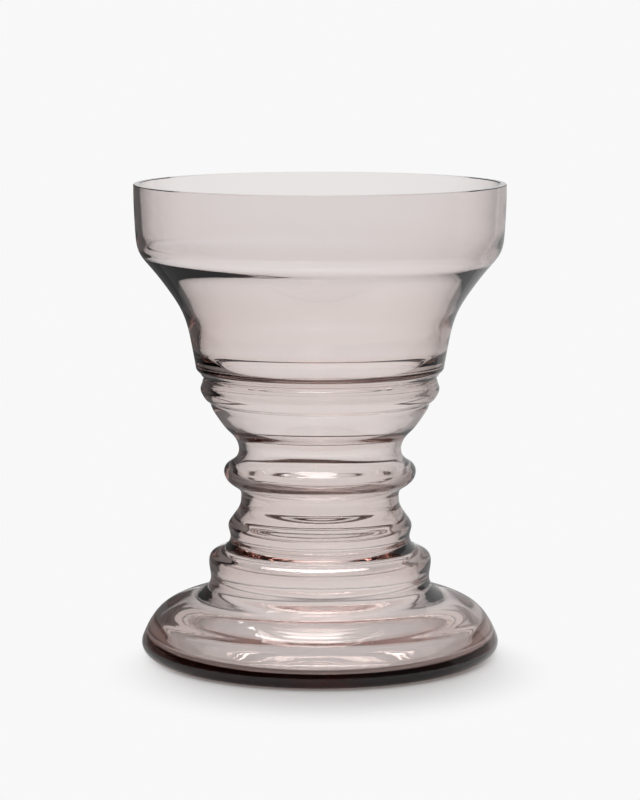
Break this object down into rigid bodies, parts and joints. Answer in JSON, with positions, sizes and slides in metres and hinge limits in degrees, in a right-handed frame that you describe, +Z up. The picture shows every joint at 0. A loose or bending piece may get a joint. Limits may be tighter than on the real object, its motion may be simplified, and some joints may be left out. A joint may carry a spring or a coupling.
{
  "type": "hyacinth forcing vase",
  "caption": "Waisted glass vase for forcing a hyacinth bulb: wide collar and cup over a ringed throat and a hollow domed foot.",
  "frame": {"origin": "centre of the resting ring, on the table", "axes": "+Z up along the vase's axis; X and Y are free, because the vase is round"},
  "size_m": [0.1334, 0.1334, 0.17],
  "materials": {
    "pink_glass": "clear smoky pink glass, fire polished, with a cut and polished rim"
  },
  "bodies": {
    "root": {"foot_base": "pink_glass", "foot_dome": "pink_glass", "lower_ring": "pink_glass", "neck_ring": "pink_glass", "throat_bead": "pink_glass", "root_funnel": "pink_glass", "bulb_cup": "pink_glass", "rim_collar": "pink_glass"}
  },
  "joints": []
}
